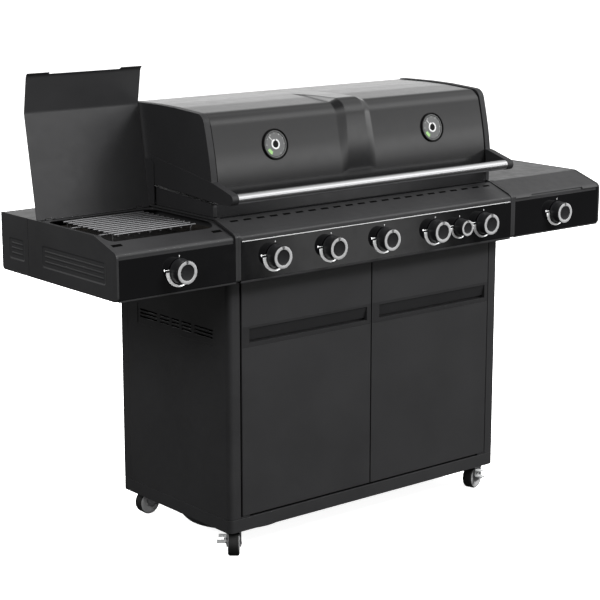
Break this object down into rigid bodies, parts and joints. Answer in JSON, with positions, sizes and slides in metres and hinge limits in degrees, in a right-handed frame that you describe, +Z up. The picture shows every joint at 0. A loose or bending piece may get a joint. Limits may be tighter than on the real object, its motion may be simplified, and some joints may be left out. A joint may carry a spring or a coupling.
{
  "type": "gas barbecue grill",
  "caption": "Free-standing gas barbecue grill on a closed cart with hinged lid, side burner modules under folding covers, doors and braked casters.",
  "frame": {"origin": "on the floor, under the middle of the grill's bounding box at rest", "axes": "+Z up, +X to the right of a person at the controls, -Y towards that person"},
  "size_m": [1.67, 0.571, 1.2427],
  "materials": {
    "powder_coat": "fine-textured black powder coat, satin",
    "enamel": "black vitreous enamel",
    "cast_black": "black painted die casting, satin",
    "lid_enamel": "smooth charcoal enamel, semi-gloss",
    "stainless": "brushed stainless steel",
    "polished_steel": "polished stainless steel",
    "chrome_wire": "bright steel wire",
    "galvanised": "galvanised sheet",
    "cast_iron": "matt enamelled cast iron",
    "brass": "machined brass",
    "black_glass": "gloss black printed glass",
    "burner_dark": "dark heat-stained steel",
    "gauge_face": "printed aluminium dial in a black bezel",
    "handle_plastic": "fine-grained black plastic",
    "knob_plastic": "satin black plastic with a silver ring",
    "caster_steel": "zinc-plated steel",
    "caster_rubber": "black rubber tread with grey side discs",
    "brake_plastic": "light grey plastic"
  },
  "bodies": {
    "cart": {"base_frame": "powder_coat", "bottle_tray": "powder_coat", "side_panel_left": "powder_coat", "side_panel_right": "powder_coat", "rear_posts": "powder_coat", "rear_panel": "powder_coat", "cart_frame": "powder_coat", "firebox": "enamel", "firebox_ends": "cast_black", "burner_tubes": "stainless", "flame_tamers": "stainless", "cooking_grates": "cast_iron", "warming_rack": "chrome_wire", "gas_manifold": "stainless", "gas_valves": "brass", "control_panel": "powder_coat", "panel_glass": "black_glass", "left_side_plate": "powder_coat", "left_module_pan": "powder_coat", "left_deck": "powder_coat", "left_glass": "black_glass", "sear_burner": "burner_dark", "sear_grate": "chrome_wire", "right_side_plate": "powder_coat", "right_module_pan": "powder_coat", "right_deck": "powder_coat", "right_glass": "black_glass", "side_burner": "burner_dark", "pan_support": "cast_iron"},
    "lid": {"lid_skin": "lid_enamel", "lid_ends": "cast_black", "lid_handle": "polished_steel", "thermometers": "gauge_face"},
    "left_cover": {"left_cover": "powder_coat"},
    "right_cover": {"right_cover": "powder_coat"},
    "door_left": {"door_left": "powder_coat", "door_handle_left": "handle_plastic"},
    "door_right": {"door_right": "powder_coat", "door_handle_right": "handle_plastic"},
    "grease_tray": {"grease_tray": "galvanised"},
    "knob_1": {"knob_1": "knob_plastic"},
    "knob_2": {"knob_2": "knob_plastic"},
    "knob_3": {"knob_3": "knob_plastic"},
    "knob_4": {"knob_4": "knob_plastic"},
    "knob_5": {"knob_5": "knob_plastic"},
    "knob_6": {"knob_6": "knob_plastic"},
    "knob_left": {"knob_left": "knob_plastic"},
    "knob_right": {"knob_right": "knob_plastic"},
    "caster_fl": {"caster_fork_fl": "caster_steel"},
    "wheel_fl": {"caster_wheel_fl": "caster_rubber"},
    "brake_fl": {"caster_brake_fl": "brake_plastic"},
    "caster_fr": {"caster_fork_fr": "caster_steel"},
    "wheel_fr": {"caster_wheel_fr": "caster_rubber"},
    "brake_fr": {"caster_brake_fr": "brake_plastic"},
    "caster_rl": {"caster_fork_rl": "caster_steel"},
    "wheel_rl": {"caster_wheel_rl": "caster_rubber"},
    "brake_rl": {"caster_brake_rl": "brake_plastic"},
    "caster_rr": {"caster_fork_rr": "caster_steel"},
    "wheel_rr": {"caster_wheel_rr": "caster_rubber"},
    "brake_rr": {"caster_brake_rr": "brake_plastic"}
  },
  "joints": [
    {"name": "lid_hinge", "type": "hinge", "parent": "cart", "child": "lid", "pos_m": [0, 0.1775, 0.975], "axis": [-1, 0, 0], "range_deg": [0, 80]},
    {"name": "left_cover_hinge", "type": "hinge", "parent": "cart", "child": "left_cover", "pos_m": [-0.6595, 0.1088, 0.8816], "axis": [1, 0, 0], "range_deg": [0, 99.4]},
    {"name": "right_cover_hinge", "type": "hinge", "parent": "cart", "child": "right_cover", "pos_m": [0.6595, 0.1088, 0.8816], "axis": [-1, 0, 0], "range_deg": [0, 99.4]},
    {"name": "door_left_hinge", "type": "hinge", "parent": "cart", "child": "door_left", "pos_m": [-0.423, -0.1965, 0.42], "axis": [0, 0, -1], "range_deg": [0, 100]},
    {"name": "door_right_hinge", "type": "hinge", "parent": "cart", "child": "door_right", "pos_m": [0.423, -0.1965, 0.42], "axis": [0, 0, 1], "range_deg": [0, 100]},
    {"name": "grease_tray_slide", "type": "slide", "parent": "cart", "child": "grease_tray", "axis": [0, 1, 0], "range_m": [0, 0.25]},
    {"name": "knob_1_turn", "type": "hinge", "parent": "cart", "child": "knob_1", "pos_m": [-0.364, -0.2625, 0.792], "axis": [0, -1, 0], "range_deg": [0, 210]},
    {"name": "knob_2_turn", "type": "hinge", "parent": "cart", "child": "knob_2", "pos_m": [-0.182, -0.2625, 0.792], "axis": [0, -1, 0], "range_deg": [0, 210]},
    {"name": "knob_3_turn", "type": "hinge", "parent": "cart", "child": "knob_3", "pos_m": [0, -0.2625, 0.792], "axis": [0, -1, 0], "range_deg": [0, 210]},
    {"name": "knob_4_turn", "type": "hinge", "parent": "cart", "child": "knob_4", "pos_m": [0.182, -0.2625, 0.792], "axis": [0, -1, 0], "range_deg": [0, 210]},
    {"name": "knob_5_turn", "type": "hinge", "parent": "cart", "child": "knob_5", "pos_m": [0.273, -0.2625, 0.792], "axis": [0, -1, 0], "range_deg": [0, 210]},
    {"name": "knob_6_turn", "type": "hinge", "parent": "cart", "child": "knob_6", "pos_m": [0.364, -0.2625, 0.792], "axis": [0, -1, 0], "range_deg": [0, 210]},
    {"name": "knob_left_turn", "type": "hinge", "parent": "cart", "child": "knob_left", "pos_m": [-0.656, -0.2625, 0.792], "axis": [0, -1, 0], "range_deg": [0, 210]},
    {"name": "knob_right_turn", "type": "hinge", "parent": "cart", "child": "knob_right", "pos_m": [0.656, -0.2625, 0.792], "axis": [0, -1, 0], "range_deg": [0, 210]},
    {"name": "caster_fl_swivel", "type": "hinge", "parent": "cart", "child": "caster_fl", "pos_m": [-0.435, -0.1665, 0.085], "axis": [0, 0, 1], "continuous": true},
    {"name": "wheel_fl_spin", "type": "hinge", "parent": "caster_fl", "child": "wheel_fl", "pos_m": [-0.44133, -0.17424, 0.0325], "axis": [-0.7738, 0.6334, 0], "continuous": true},
    {"name": "brake_fl_press", "type": "hinge", "parent": "caster_fl", "child": "brake_fl", "pos_m": [-0.44957, -0.1843, 0.0495], "axis": [-0.7738, 0.6334, 0], "range_deg": [-12, 0]},
    {"name": "caster_fr_swivel", "type": "hinge", "parent": "cart", "child": "caster_fr", "pos_m": [0.435, -0.1665, 0.085], "axis": [0, 0, 1], "continuous": true},
    {"name": "wheel_fr_spin", "type": "hinge", "parent": "caster_fr", "child": "wheel_fr", "pos_m": [0.42537, -0.16919, 0.0325], "axis": [0.2689, -0.9632, 0], "continuous": true},
    {"name": "brake_fr_press", "type": "hinge", "parent": "caster_fr", "child": "brake_fr", "pos_m": [0.41285, -0.17269, 0.0495], "axis": [0.2689, -0.9632, 0], "range_deg": [-12, 0]},
    {"name": "caster_rl_swivel", "type": "hinge", "parent": "cart", "child": "caster_rl", "pos_m": [-0.435, 0.2415, 0.085], "axis": [0, 0, 1], "continuous": true},
    {"name": "wheel_rl_spin", "type": "hinge", "parent": "caster_rl", "child": "wheel_rl", "pos_m": [-0.425, 0.2415, 0.0325], "axis": [0, 1, 0], "continuous": true},
    {"name": "brake_rl_press", "type": "hinge", "parent": "caster_rl", "child": "brake_rl", "pos_m": [-0.412, 0.2415, 0.0495], "axis": [0, 1, 0], "range_deg": [-12, 0]},
    {"name": "caster_rr_swivel", "type": "hinge", "parent": "cart", "child": "caster_rr", "pos_m": [0.435, 0.2415, 0.085], "axis": [0, 0, 1], "continuous": true},
    {"name": "wheel_rr_spin", "type": "hinge", "parent": "caster_rr", "child": "wheel_rr", "pos_m": [0.44266, 0.23507, 0.0325], "axis": [-0.6428, -0.766, 0], "continuous": true},
    {"name": "brake_rr_press", "type": "hinge", "parent": "caster_rr", "child": "brake_rr", "pos_m": [0.45262, 0.22672, 0.0495], "axis": [-0.6428, -0.766, 0], "range_deg": [-12, 0]}
  ]
}
